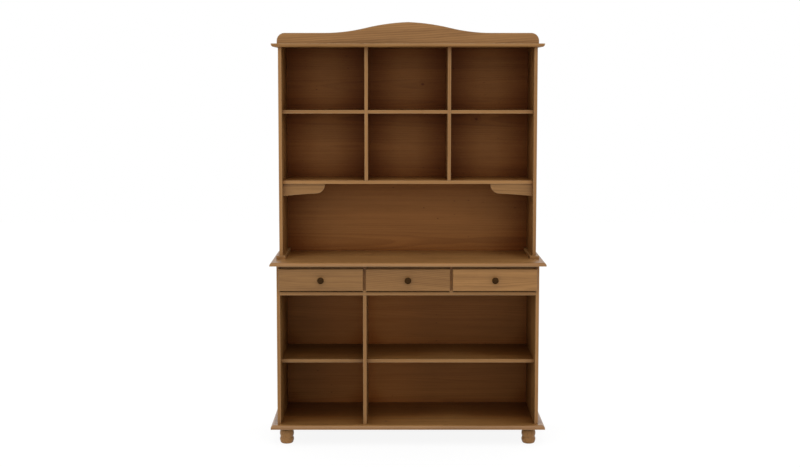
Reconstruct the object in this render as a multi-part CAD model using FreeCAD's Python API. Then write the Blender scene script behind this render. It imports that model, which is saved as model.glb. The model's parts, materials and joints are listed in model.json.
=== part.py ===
"""Dresser with hutch: a three-drawer dresser on bun feet with an open shelf unit standing on it.

Sizes are in millimetres. X runs to the right, Y to the rear and Z up. The origin lies on the floor
under the middle of the bounding box, and the drawers face the negative Y direction.
"""
import math
import os

import FreeCAD
import Part

os.makedirs("parts", exist_ok=True)

Vector = FreeCAD.Vector
UP = Vector(0, 0, 1)
DOWN = Vector(0, 0, -1)
REAR = Vector(0, 1, 0)
FRONT = Vector(0, -1, 0)

# Boards
worktop_width = 1200.0
worktop_depth = 440.0
worktop_thickness = 15.0
base_thickness = 18.0
board = 15.0
moulding_radius = 12.0
soft_edge = 2.0
front_soft_edge = 3.0

# Lower unit
foot_height = 74.0
lower_height = 702.0
side_overhang = 28.0
front_overhang = 30.0
drawer_bay_height = 116.0
lower_shelf_level = 263.0
lower_shelf_setback = 52.0
shelf_play = 0.5

# Hutch
hutch_setback = 141.0
hutch_narrower = 4.0
hutch_height = 917.0
rail_width = 40.0
rail_height = 15.0
rail_ahead = 15.0
open_bay_height = 330.0
upper_bay_height = 296.0
hutch_divider_offset = 183.5
hutch_divider_setback = 30.0
hutch_shelf_setback = 2.0
top_overhang = 28.0

# Crest board
crest_width = 1144.0
crest_setback = 17.0
crest_flank = 46.0
crest_rise = 47.0
crest_wave_start = 365.0
crest_turn = 185.0
crest_turn_rise = 21.5
crest_shoulder = 34.0

# Corner brackets under the hutch
bracket_length = 186.0
bracket_side_height = 56.0
bracket_middle_height = 48.5
bracket_middle = 74.0
bracket_nose_height = 44.0
bracket_nose_radius = 40.0
bracket_setback = 8.0

# Back panels
panel_thickness = 4.0
rebate_depth = 6.0
rebate_width = 8.0
panel_play = 0.5
panel_screw_radius = 1.5
panel_screw_head_radius = 3.0
panel_screw_head_height = 1.6
panel_screw_depth = 14.0
screw_play = 0.2

# Feet
foot_inset = 66.0
foot_radius = 31.0
foot_upper_radius = 31.0
foot_waist_radius = 27.4
foot_collar_radius = 27.0
foot_neck_radius = 23.0
foot_heel_radius = 28.5
foot_heel_round = 8.5
foot_bolt_radius = 4.0
foot_bolt_in_foot = 35.0
foot_bolt_in_base = 12.0

# Rail under the worktop, above the drawers
top_rail_height = 18.0
top_rail_depth = 40.0
top_rail_setback = 8.0

# Drawers
drawer_gap = 10.0
drawer_end_reveal = 9.0
drawer_front_height = 98.0
drawer_front_lift = 5.0
drawer_front_thickness = 15.0
drawer_front_round = 6.0
drawer_seat_gap = 0.5
drawer_side_thickness = 12.0
drawer_side_height = 80.0
drawer_side_lift = 10.0
drawer_box_length = 370.0
drawer_housing = 5.0
drawer_dado = 4.0
drawer_back_inset = 20.0
drawer_bottom_thickness = 4.0
drawer_bottom_lift = 8.0
groove_play = 0.1

# Runners
runner_gap = 5.0
runner_reach = 5.5
runner_height = 16.0
runner_lift = 42.0
runner_front_setback = 20.0
runner_rear_setback = 20.0
runner_side_play = 0.5
runner_top_play = 0.3
runner_bottom_play = 0.5
runner_screw_radius = 1.75
runner_screw_head_radius = 3.5
runner_screw_head_height = 2.6
runner_screw_depth = 6.5
runner_screw_margin = 60.0

# Knobs
knob_reach = 24.0
knob_radius = 14.5
knob_face_radius = 7.0
knob_neck_radius = 6.0
knob_foot_radius = 9.0
knob_screw_radius = 2.0
knob_screw_depth = 12.0
knob_screw_head_radius = 4.0
knob_screw_head_height = 2.4

# Dowels and shelf pins
dowel_radius = 4.0
dowel_edge_depth = 20.0
dowel_face_depth = 0.6 * board
dowel_play = 0.1
dowel_end_play = 0.5
dowel_margin = 45.0
dowel_stagger = 30.0
pin_radius = 2.5
pin_depth = 0.4 * board
pin_reach = 8.0
pin_margin = 50.0
pin_play = 0.05

# Levels from the floor up
base_top = foot_height + base_thickness
deck_top = base_top + lower_height - drawer_bay_height
deck_bottom = deck_top - board
worktop_bottom = base_top + lower_height
worktop_top = worktop_bottom + worktop_thickness
top_rail_bottom = worktop_bottom - top_rail_height
lower_shelf_bottom = base_top + lower_shelf_level
lower_shelf_top = lower_shelf_bottom + board
hutch_bottom = worktop_top + rail_height
hutch_shelf_bottom = worktop_top + open_bay_height
hutch_shelf_top = hutch_shelf_bottom + board
upper_shelf_bottom = hutch_shelf_top + upper_bay_height
upper_shelf_top = upper_shelf_bottom + board
top_bottom = hutch_bottom + hutch_height
top_top = top_bottom + board

# Planes from front to rear
knob_ahead = knob_reach + drawer_front_thickness + drawer_seat_gap - front_overhang
worktop_front = knob_ahead - (worktop_depth + knob_ahead) / 2
rear = worktop_front + worktop_depth
panel_front = rear - rebate_depth
panel_rear = panel_front + panel_thickness
lower_front = worktop_front + front_overhang
top_rail_front = lower_front + top_rail_setback
top_rail_rear = top_rail_front + top_rail_depth
hutch_front = worktop_front + hutch_setback
rail_front = hutch_front - rail_ahead
hutch_divider_front = hutch_front + hutch_divider_setback
hutch_shelf_front = hutch_divider_front + hutch_shelf_setback
top_front = hutch_front - top_overhang
crest_front = top_front + crest_setback
bracket_front = hutch_shelf_front + bracket_setback
lower_shelf_front = lower_front + lower_shelf_setback

# Half widths
worktop_half = worktop_width / 2
lower_half = worktop_half - side_overhang
lower_inner = lower_half - board
hutch_half = lower_half - hutch_narrower
hutch_inner = hutch_half - board
top_half = hutch_half + top_overhang
drawer_opening = (2 * lower_inner - 2 * board) / 3
partition_middle = drawer_opening / 2 + board / 2

pieces = {}
cutters = {}
fasteners = {"carcass_dowels": [], "hutch_dowels": [], "back_panel_screws": [], "runner_screws": []}


def block(x0, x1, y0, y1, z0, z1):
    """A plain board between two corners."""
    return Part.makeBox(x1 - x0, y1 - y0, z1 - z0, Vector(x0, y0, z0))


def edges_at(shape, x=None, y=None, z=None):
    """The edges whose two ends both lie at the given coordinates."""
    found = []
    for edge in shape.Edges:
        ends = [vertex.Point for vertex in edge.Vertexes]
        for wanted, values in ((x, [p.x for p in ends]), (y, [p.y for p in ends]), (z, [p.z for p in ends])):
            if wanted is not None and max(abs(value - wanted) for value in values) > 1e-6:
                break
        else:
            found.append(edge)
    return found


def shelf(x0, x1, y0, y1, z0, z1):
    """A level board with its two long front edges softened."""
    plain = block(x0, x1, y0, y1, z0, z1)
    return plain.makeFillet(soft_edge, edges_at(plain, y=y0, z=z0) + edges_at(plain, y=y0, z=z1))


def upright(x0, x1, y0, y1, z0, z1):
    """An upright board with its two long front edges softened."""
    plain = block(x0, x1, y0, y1, z0, z1)
    return plain.makeFillet(soft_edge, edges_at(plain, x=x0, y=y0) + edges_at(plain, x=x1, y=y0))


def moulded(half, y0, y1, z0, z1, moulded_level):
    """A board with a quarter-round on its front and both ends, mitred where they meet."""
    plain = block(-half, half, y0, y1, z0, z1)
    front = plain.makeFillet(moulding_radius, edges_at(plain, y=y0, z=moulded_level))
    ends = edges_at(plain, x=-half, z=moulded_level) + edges_at(plain, x=half, z=moulded_level)
    return front.common(plain.makeFillet(moulding_radius, ends))


def rebated(side, x0, x1, z0, z1):
    """A side board with the step at its rear that takes the back panel."""
    return side.cut(block(x0, x1, panel_front, rear, z0, z1))


def add(name, shape):
    """Keep a piece under its name, ready to take holes."""
    pieces[name] = shape
    cutters[name] = []


def spread(start, end, count, margin):
    """Evenly spaced positions that keep a margin from both ends."""
    step = (end - start - 2 * margin) / (count - 1)
    return [start + margin + step * index for index in range(count)]


def peg(group, edge_board, face_board, at, direction, edge_depth=dowel_edge_depth):
    """A dowel that leaves the edge of one board and enters the face of another, with its two holes."""
    start = at - direction * edge_depth
    length = edge_depth + dowel_face_depth
    fasteners[group].append(Part.makeCylinder(dowel_radius, length, start, direction))
    hole_start = start - direction * dowel_end_play
    hole = Part.makeCylinder(dowel_radius + dowel_play, length + 2 * dowel_end_play, hole_start, direction)
    cutters[edge_board].append(hole)
    cutters[face_board].append(hole)


def panel_screw(panel, frame_board, x, z):
    """A pan-head screw through a back panel into the rear edge of a board."""
    tip = Vector(x, panel_front - panel_screw_depth, z)
    shank = Part.makeCylinder(panel_screw_radius, panel_screw_depth + panel_thickness, tip, REAR)
    seat = Vector(x, panel_rear, z)
    head = Part.makeCylinder(panel_screw_head_radius, panel_screw_head_height, seat, REAR)
    fasteners["back_panel_screws"].append(shank.fuse(head).removeSplitter())
    hole_tip = tip - REAR * dowel_end_play
    hole_length = panel_screw_depth + panel_thickness + dowel_end_play
    hole = Part.makeCylinder(panel_screw_radius + screw_play, hole_length, hole_tip, REAR)
    cutters[panel].append(hole)
    cutters[frame_board].append(hole)


def turned(points_and_arcs, centre, direction):
    """A turned piece: a half outline of (radius, height) stretches spun about its axis."""
    edges = []
    for stretch in points_and_arcs:
        places = [Vector(radius, 0, height) for radius, height in stretch]
        edges.append(Part.Arc(*places).toShape() if len(places) == 3 else Part.makeLine(*places))
    spun = Part.Face(Part.Wire(edges)).revolve(Vector(0, 0, 0), UP, 360)
    spun.Placement = FreeCAD.Placement(centre, FreeCAD.Rotation(UP, direction))
    return spun


def extruded(edges, front, resting):
    """A shaped board: an outline carried to the rear, softened in front where it doesn't rest on a board."""
    plain = Part.Face(Part.Wire(edges)).extrude(REAR * board)
    free = []
    for edge in edges_at(plain, y=front):
        if not any(edge.isSame(other) for other in resting(plain)):
            free.append(edge)
    return plain.makeFillet(front_soft_edge, free)


# Base board, worktop and deck
add("base_board", moulded(worktop_half, worktop_front, rear, foot_height, base_top, base_top))
add("worktop", moulded(worktop_half, worktop_front, rear, worktop_bottom, worktop_top, worktop_top))
add("drawer_deck", shelf(-lower_inner, lower_inner, lower_front, panel_front, deck_bottom, deck_top))

# Uprights of the lower unit
left_side = upright(-lower_half, -lower_inner, lower_front, rear, base_top, worktop_bottom)
right_side = upright(lower_inner, lower_half, lower_front, rear, base_top, worktop_bottom)
lower_step = lower_inner + rebate_width
add("lower_side_left", rebated(left_side, -lower_step, -lower_inner, base_top, worktop_bottom))
add("lower_side_right", rebated(right_side, lower_inner, lower_step, base_top, worktop_bottom))
top_rail = block(
    -lower_inner, lower_inner, top_rail_front, top_rail_rear, top_rail_bottom, worktop_bottom
)
add("drawer_top_rail", top_rail)
for end, sign in (("left", -1), ("right", 1)):
    face = sign * partition_middle - board / 2
    partition = upright(face, face + board, lower_front, panel_front, deck_top, worktop_bottom)
    add("drawer_partition_" + end, partition.cut(top_rail))
divider_left_face = -partition_middle - board / 2
divider_right_face = divider_left_face + board
add(
    "lower_divider",
    upright(divider_left_face, divider_right_face, lower_front, panel_front, base_top, deck_bottom),
)

# Loose lower shelves on pins
shelf_bays = {
    "lower_shelf_left": (-lower_inner, divider_left_face, "lower_side_left", "lower_divider"),
    "lower_shelf_right": (divider_right_face, lower_inner, "lower_divider", "lower_side_right"),
}
shelf_pins = []
for name, (x0, x1, left_board, right_board) in shelf_bays.items():
    shelf_rear = panel_front - shelf_play
    left_end = x0 + shelf_play
    right_end = x1 - shelf_play
    add(name, shelf(left_end, right_end, lower_shelf_front, shelf_rear, lower_shelf_bottom, lower_shelf_top))
    pin_level = lower_shelf_bottom - pin_radius - pin_play
    for y in spread(lower_shelf_front, panel_front, 2, pin_margin):
        for face, inward, holder in ((x0, 1, left_board), (x1, -1, right_board)):
            root = Vector(face - inward * pin_depth, y, pin_level)
            along = Vector(inward, 0, 0)
            shelf_pins.append(Part.makeCylinder(pin_radius, pin_depth + pin_reach, root, along))
            hole_root = root - along * pin_play
            hole = Part.makeCylinder(pin_radius + pin_play, pin_depth + pin_play, hole_root, along)
            cutters[holder].append(hole)

# Feet with their hanger bolts
foot_lower_bead = 0.23 * foot_height
foot_waist = 0.405 * foot_height
foot_upper_bead = 0.61 * foot_height
foot_collar = 0.82 * foot_height
foot_sole_radius = foot_heel_radius - foot_heel_round
heel_bend = foot_heel_round * math.sqrt(0.5)
heel_middle = (foot_sole_radius + heel_bend, foot_heel_round - heel_bend)
foot_heel_top = (foot_heel_radius, foot_heel_round)
foot_waist_edge = (foot_waist_radius, foot_waist)
foot_collar_edge = (foot_collar_radius, foot_collar)
foot_outline = [
    ((0, 0), (foot_sole_radius, 0)),
    ((foot_sole_radius, 0), heel_middle, foot_heel_top),
    (foot_heel_top, (foot_radius, foot_lower_bead), foot_waist_edge),
    (foot_waist_edge, (foot_upper_radius, foot_upper_bead), foot_collar_edge),
    (foot_collar_edge, (foot_neck_radius, foot_collar)),
    ((foot_neck_radius, foot_collar), (foot_neck_radius, foot_height)),
    ((foot_neck_radius, foot_height), (0, foot_height)),
    ((0, foot_height), (0, 0)),
]
foot_bolts = []
for row, y in (("front", worktop_front + foot_inset), ("rear", rear - foot_inset)):
    for end, x in (("left", -worktop_half + foot_inset), ("right", worktop_half - foot_inset)):
        name = "foot_" + row + "_" + end
        add(name, turned(foot_outline, Vector(x, y, 0), UP))
        bolt_length = foot_bolt_in_foot + foot_bolt_in_base
        bolt_start = Vector(x, y, foot_height - foot_bolt_in_foot)
        foot_bolts.append(Part.makeCylinder(foot_bolt_radius, bolt_length, bolt_start, UP))
        hole_start = bolt_start - UP * dowel_end_play
        hole_length = bolt_length + 2 * dowel_end_play
        hole = Part.makeCylinder(foot_bolt_radius + dowel_play, hole_length, hole_start, UP)
        cutters[name].append(hole)
        cutters["base_board"].append(hole)

# Hutch boards
for end, sign in (("left", -1), ("right", 1)):
    rail_middle = sign * (hutch_half - board / 2)
    rail_left = rail_middle - rail_width / 2
    rail_right = rail_middle + rail_width / 2
    rail = block(rail_left, rail_right, rail_front, panel_front, worktop_top, hutch_bottom)
    long_edges = edges_at(rail, x=rail_left, z=hutch_bottom) + edges_at(rail, x=rail_right, z=hutch_bottom)
    add("hutch_rail_" + end, rail.makeFillet(soft_edge, long_edges))
    outer, inner = sign * hutch_half, sign * hutch_inner
    side = upright(min(outer, inner), max(outer, inner), hutch_front, rear, hutch_bottom, top_bottom)
    step = sign * (hutch_inner + rebate_width)
    add("hutch_side_" + end, rebated(side, min(inner, step), max(inner, step), hutch_bottom, top_bottom))
    divider_face = sign * hutch_divider_offset - board / 2
    divider = upright(
        divider_face, divider_face + board, hutch_divider_front, panel_front, hutch_shelf_top, top_bottom
    )
    add("hutch_divider_" + end, divider)
add(
    "hutch_bottom_shelf",
    shelf(-hutch_inner, hutch_inner, hutch_shelf_front, panel_front, hutch_shelf_bottom, hutch_shelf_top),
)
divider_inner = hutch_divider_offset - board / 2
divider_outer = hutch_divider_offset + board / 2
upper_bays = {
    "hutch_shelf_left": (-hutch_inner, -divider_outer, "hutch_side_left", "hutch_divider_left", 0),
    "hutch_shelf_middle": (-divider_inner, divider_inner, "hutch_divider_left", "hutch_divider_right", 1),
    "hutch_shelf_right": (divider_outer, hutch_inner, "hutch_divider_right", "hutch_side_right", 0),
}
for name, (x0, x1, left_board, right_board, shift) in upper_bays.items():
    add(name, shelf(x0, x1, hutch_shelf_front, panel_front, upper_shelf_bottom, upper_shelf_top))
add("hutch_top_board", moulded(top_half, top_front, rear, top_bottom, top_top, top_bottom))


def bent(start, end, angle):
    """An arc from start to end that leaves its chord by the angle, to the left of the way it runs."""
    chord = end - start
    left = Vector(-chord.z, 0, chord.x)
    return Part.Arc(start, (start + end) / 2 + left * (math.tan(angle / 2) / 2), end).toShape()


def crest_half_outline(sign):
    """One half of the crest's upper edge, from the end of the board to the apex."""
    def at(x, z):
        return Vector(sign * x, crest_front, top_top + z)

    half = crest_width / 2
    corner = crest_shoulder * (1 - math.sqrt(0.5))
    low_slope = math.atan2(crest_turn_rise, crest_wave_start - crest_turn)
    high_slope = math.atan2(crest_rise - crest_turn_rise, crest_turn)
    flank_end = at(crest_wave_start, crest_flank)
    turn = at(crest_turn, crest_flank + crest_turn_rise)
    apex = at(0, crest_flank + crest_rise)
    shoulder_top = at(half - crest_shoulder, crest_flank)
    shoulder_low = at(half, crest_flank - crest_shoulder)
    return [
        Part.makeLine(at(half, 0), shoulder_low),
        Part.Arc(shoulder_low, at(half - corner, crest_flank - corner), shoulder_top).toShape(),
        Part.makeLine(shoulder_top, flank_end),
        bent(flank_end, turn, sign * low_slope),
        bent(turn, apex, -sign * (2 * low_slope - high_slope)),
    ]


crest_foot = Part.makeLine(
    Vector(-crest_width / 2, crest_front, top_top), Vector(crest_width / 2, crest_front, top_top)
)
crest_edges = Part.__sortEdges__(crest_half_outline(-1) + crest_half_outline(1) + [crest_foot])
add("crest_board", extruded(crest_edges, crest_front, lambda plain: edges_at(plain, z=top_top)))


def bracket_resting_edges(plain):
    """The edges of a bracket that lie against the shelf and the side board."""
    sides = edges_at(plain, x=-hutch_inner) + edges_at(plain, x=hutch_inner)
    return sides + edges_at(plain, z=hutch_shelf_bottom)


def bracket(sign):
    """A shaped corner bracket under the hutch's bottom shelf."""
    def at(from_side, below):
        return Vector(sign * (hutch_inner - from_side), bracket_front, hutch_shelf_bottom - below)

    nose_start = bracket_nose_height - bracket_nose_radius
    nose_end = bracket_length - bracket_nose_radius
    bend = bracket_nose_radius * math.sqrt(0.5)
    top_end = at(bracket_length, 0)
    nose_top = at(bracket_length, nose_start)
    nose_low = at(nose_end, bracket_nose_height)
    side_low = at(0, bracket_side_height)
    outline = [
        Part.makeLine(at(0, 0), top_end),
        Part.makeLine(top_end, nose_top),
        Part.Arc(nose_top, at(nose_end + bend, nose_start + bend), nose_low).toShape(),
        Part.Arc(nose_low, at(bracket_middle, bracket_middle_height), side_low).toShape(),
        Part.makeLine(side_low, at(0, 0)),
    ]
    return extruded(outline, bracket_front, bracket_resting_edges)


add("bracket_left", bracket(-1))
add("bracket_right", bracket(1))

# Back panels
lower_panel_half = lower_inner + rebate_width - panel_play
add(
    "lower_back_panel",
    block(-lower_panel_half, lower_panel_half, panel_front, panel_rear, base_top, worktop_bottom),
)
hutch_panel_half = hutch_inner + rebate_width - panel_play
add(
    "hutch_back_panel",
    block(-hutch_panel_half, hutch_panel_half, panel_front, panel_rear, worktop_top, top_bottom),
)

# Dowels of the lower unit
side_dowel_rows = spread(lower_front, panel_front, 3, dowel_margin)
inner_rows = spread(lower_front, panel_front, 2, dowel_margin + dowel_stagger)
partition_rows = spread(lower_front, panel_front, 2, dowel_margin + 2 * dowel_stagger)
for end, sign in (("left", -1), ("right", 1)):
    side_name = "lower_side_" + end
    side_middle = sign * (lower_half - board / 2)
    for y in side_dowel_rows:
        peg("carcass_dowels", side_name, "base_board", Vector(side_middle, y, base_top), DOWN)
        peg("carcass_dowels", side_name, "worktop", Vector(side_middle, y, worktop_bottom), UP)
    for y in inner_rows:
        deck_end = Vector(sign * lower_inner, y, deck_top - board / 2)
        peg("carcass_dowels", "drawer_deck", side_name, deck_end, Vector(sign, 0, 0))
    rail_middle_y = (top_rail_front + top_rail_rear) / 2
    rail_end = Vector(sign * lower_inner, rail_middle_y, worktop_bottom - top_rail_height / 2)
    peg("carcass_dowels", "drawer_top_rail", side_name, rail_end, Vector(sign, 0, 0))
    for y in partition_rows:
        partition = "drawer_partition_" + end
        x = sign * partition_middle
        peg("carcass_dowels", partition, "drawer_deck", Vector(x, y, deck_top), DOWN)
        peg("carcass_dowels", partition, "worktop", Vector(x, y, worktop_bottom), UP)
for y in inner_rows:
    peg("carcass_dowels", "lower_divider", "base_board", Vector(-partition_middle, y, base_top), DOWN)
    peg("carcass_dowels", "lower_divider", "drawer_deck", Vector(-partition_middle, y, deck_bottom), UP)

# Dowels of the hutch
rail_rows = [(side_dowel_rows[0] + side_dowel_rows[1]) / 2, (side_dowel_rows[1] + side_dowel_rows[2]) / 2]
hutch_rows = spread(hutch_divider_front, panel_front, 2, dowel_margin)
for end, sign in (("left", -1), ("right", 1)):
    side_name = "hutch_side_" + end
    rail_name = "hutch_rail_" + end
    divider_name = "hutch_divider_" + end
    side_middle = sign * (hutch_half - board / 2)
    for y in rail_rows:
        peg("hutch_dowels", rail_name, "worktop", Vector(side_middle, y, worktop_top), DOWN, dowel_face_depth)
        peg("hutch_dowels", side_name, rail_name, Vector(side_middle, y + dowel_stagger, hutch_bottom), DOWN)
    for y in hutch_rows:
        shelf_end = Vector(sign * hutch_inner, y, hutch_shelf_top - board / 2)
        divider_foot = Vector(sign * hutch_divider_offset, y, hutch_shelf_top)
        divider_head = Vector(sign * hutch_divider_offset, y, top_bottom)
        peg("hutch_dowels", side_name, "hutch_top_board", Vector(side_middle, y, top_bottom), UP)
        peg("hutch_dowels", "hutch_bottom_shelf", side_name, shelf_end, Vector(sign, 0, 0))
        peg("hutch_dowels", divider_name, "hutch_bottom_shelf", divider_foot, DOWN)
        peg("hutch_dowels", divider_name, "hutch_top_board", divider_head, UP)
    for x in spread(0, crest_width / 2, 2, crest_width / 12):
        crest_place = Vector(sign * x, crest_front + board / 2, top_top)
        peg("hutch_dowels", "crest_board", "hutch_top_board", crest_place, DOWN)
    for from_side in spread(0, bracket_length, 2, dowel_margin):
        x = sign * (hutch_inner - from_side)
        bracket_place = Vector(x, bracket_front + board / 2, hutch_shelf_bottom)
        peg("hutch_dowels", "bracket_" + end, "hutch_bottom_shelf", bracket_place, UP)
for name, (x0, x1, left_board, right_board, shift) in upper_bays.items():
    level = upper_shelf_bottom + board / 2
    for y in spread(hutch_divider_front, panel_front, 2, dowel_margin + shift * dowel_stagger):
        peg("hutch_dowels", name, left_board, Vector(x0, y, level), Vector(-1, 0, 0))
        peg("hutch_dowels", name, right_board, Vector(x1, y, level), Vector(1, 0, 0))

# Screws of the back panels
for end, sign in (("left", -1), ("right", 1)):
    for z in spread(base_top, worktop_bottom, 5, dowel_margin):
        panel_screw("lower_back_panel", "lower_side_" + end, sign * (lower_inner + rebate_width / 2), z)
    for z in spread(hutch_bottom, top_bottom, 6, dowel_margin):
        panel_screw("hutch_back_panel", "hutch_side_" + end, sign * (hutch_inner + rebate_width / 2), z)
    for z in spread(hutch_shelf_top, top_bottom, 3, dowel_margin):
        panel_screw("hutch_back_panel", "hutch_divider_" + end, sign * hutch_divider_offset, z)
for x in spread(-lower_inner, lower_inner, 4, 2 * dowel_margin):
    panel_screw("lower_back_panel", "drawer_deck", x, deck_top - board / 2)
for x in spread(-hutch_inner, hutch_inner, 4, 2 * dowel_margin):
    panel_screw("hutch_back_panel", "hutch_bottom_shelf", x, hutch_shelf_top - board / 2)
for z in spread(base_top, deck_bottom, 2, 3 * dowel_margin):
    panel_screw("lower_back_panel", "lower_divider", -partition_middle, z)

# Drawers and their runners
drawer_front_width = (2 * lower_half - 2 * drawer_end_reveal - 2 * drawer_gap) / 3
face_rear = lower_front - drawer_seat_gap
face_front = face_rear - drawer_front_thickness
box_front = face_rear - drawer_housing
box_rear = face_rear + drawer_box_length
face_bottom = deck_top + drawer_front_lift
face_top = face_bottom + drawer_front_height
side_bottom = deck_top + drawer_side_lift
side_top = side_bottom + drawer_side_height
bottom_low = side_bottom + drawer_bottom_lift
bottom_high = bottom_low + drawer_bottom_thickness
back_rear = box_rear - drawer_back_inset
back_front = back_rear - drawer_side_thickness
runner_low = deck_top + runner_lift
runner_high = runner_low + runner_height
runner_front = lower_front + runner_front_setback
runner_rear = panel_front - runner_rear_setback
runner_thickness = runner_gap + runner_reach
knob_level = (face_bottom + face_top) / 2
knob_foot = (knob_foot_radius, 0)
knob_neck = (knob_neck_radius, 0.3 * knob_reach)
knob_shoulder = (0.75 * knob_radius, 0.52 * knob_reach)
knob_rim = (knob_radius, 0.7 * knob_reach)
knob_dome = (0.8 * knob_radius, 0.9 * knob_reach)
knob_face = (knob_face_radius, knob_reach)
knob_outline = [
    ((0, 0), knob_foot),
    (knob_foot, knob_neck, knob_shoulder),
    (knob_shoulder, knob_rim),
    (knob_rim, knob_dome, knob_face),
    (knob_face, (0, knob_reach)),
    ((0, knob_reach), (0, 0)),
]
runners = []


def runner(face, inward, holder):
    """A wooden strip on one wall of a drawer opening, on two countersunk screws."""
    x0, x1 = sorted((face, face + inward * runner_thickness))
    strip = block(x0, x1, runner_front, runner_rear, runner_low, runner_high)
    outward = Vector(-inward, 0, 0)
    for y in spread(runner_front, runner_rear, 2, runner_screw_margin):
        seat = Vector(face + inward * runner_thickness, y, runner_low + runner_height / 2)
        length = runner_thickness + runner_screw_depth
        head = Part.makeCone(
            runner_screw_head_radius, runner_screw_radius, runner_screw_head_height, seat, outward
        )
        shank = Part.makeCylinder(runner_screw_radius, length, seat, outward)
        fasteners["runner_screws"].append(head.fuse(shank).removeSplitter())
        wide_head = Part.makeCone(
            runner_screw_head_radius + screw_play,
            runner_screw_radius + screw_play,
            runner_screw_head_height,
            seat,
            outward,
        )
        wide_shank = Part.makeCylinder(runner_screw_radius + screw_play, length + screw_play, seat, outward)
        strip = strip.cut([wide_head, wide_shank])
        cutters[holder].append(wide_shank)
    runners.append(strip)


def drawer(name, opening_left, face_left):
    """The seven pieces of one drawer, housed and grooved together."""
    box_left = opening_left + runner_gap
    box_right = opening_left + drawer_opening - runner_gap
    inner_left = box_left + drawer_side_thickness
    inner_right = box_right - drawer_side_thickness
    face = block(face_left, face_left + drawer_front_width, face_front, face_rear, face_bottom, face_top)
    face = face.makeFillet(drawer_front_round, edges_at(face, y=face_front))
    bottom_left = inner_left - drawer_housing
    bottom_right = inner_right + drawer_housing
    bottom = block(bottom_left, bottom_right, box_front, box_rear, bottom_low, bottom_high)
    groove_low = bottom_low - groove_play
    groove = block(
        bottom_left - groove_play, bottom_right + groove_play, box_front, box_rear, groove_low, bottom_high
    )
    back_left = inner_left - drawer_dado
    back_right = inner_right + drawer_dado
    back = block(back_left, back_right, back_front, back_rear, bottom_high, side_top)
    sides = {}
    for end, x0, x1, outer, inward in (
        ("left", box_left, inner_left, box_left, 1),
        ("right", inner_right, box_right, box_right, -1),
    ):
        side = block(x0, x1, box_front, box_rear, side_bottom, side_top)
        face = face.cut(side)
        g0, g1 = sorted((outer, outer + inward * (runner_reach + runner_side_play)))
        slot_front = runner_front - runner_side_play
        slot_low = runner_low - runner_bottom_play
        slot_high = runner_high + runner_top_play
        slot = block(g0, g1, slot_front, box_rear, slot_low, slot_high)
        sides[end] = side.cut([groove, back, slot])
    face_middle = face_left + drawer_front_width / 2
    knob_seat = Vector(face_middle, face_front, knob_level)
    knob = turned(knob_outline, knob_seat, FRONT)
    screw_seat = Vector(face_middle, face_rear, knob_level)
    shank_length = drawer_front_thickness + knob_screw_depth
    shank = Part.makeCylinder(knob_screw_radius, shank_length, screw_seat, FRONT)
    head = Part.makeCylinder(knob_screw_head_radius, knob_screw_head_height, screw_seat, REAR)
    hole_radius = knob_screw_radius + screw_play
    screw_hole = Part.makeCylinder(hole_radius, shank_length + screw_play, screw_seat, FRONT)
    add(name + "_front", face.cut([groove, screw_hole]))
    add(name + "_side_left", sides["left"])
    add(name + "_side_right", sides["right"])
    add(name + "_back", back)
    add(name + "_bottom", bottom)
    add(name + "_knob", knob.cut(screw_hole))
    add(name + "_knob_screw", shank.fuse(head).removeSplitter())


drawer_walls = {
    "drawer_left": ("lower_side_left", "drawer_partition_left"),
    "drawer_middle": ("drawer_partition_left", "drawer_partition_right"),
    "drawer_right": ("drawer_partition_right", "lower_side_right"),
}
for place, (name, (left_wall, right_wall)) in enumerate(drawer_walls.items()):
    opening_left = -lower_inner + place * (drawer_opening + board)
    face_left = -lower_half + drawer_end_reveal + place * (drawer_front_width + drawer_gap)
    drawer(name, opening_left, face_left)
    runner(opening_left, 1, left_wall)
    runner(opening_left + drawer_opening, -1, right_wall)

# Holes, then one file for each piece and one for each group of like fasteners
for name, shape in pieces.items():
    if cutters[name]:
        shape = shape.cut(cutters[name])
    shape.Solids[0].exportStep("parts/" + name + ".step")
groups = dict(fasteners, shelf_pins=shelf_pins, foot_bolts=foot_bolts, drawer_runners=runners)
for name, solids in groups.items():
    Part.makeCompound([solid.Solids[0] for solid in solids]).exportStep("parts/" + name + ".step")
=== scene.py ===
# %% [markdown]
# # A stained pine dresser with a hutch
#
# The real object is a joiner's dresser: three drawers and open shelves on bun feet, with a hutch of
# small bays standing on its worktop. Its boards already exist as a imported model, at their true size and
# with their drawers on slides. They could be drawn again here, but a fixed frame keeps every board and
# joint where it belongs, so this lesson adds what a finisher adds: stain, grain, varnish and hardware.

# %% Load the frame
import json
import math

import bmesh
import bpy
from mathutils import Matrix, Vector

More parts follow.
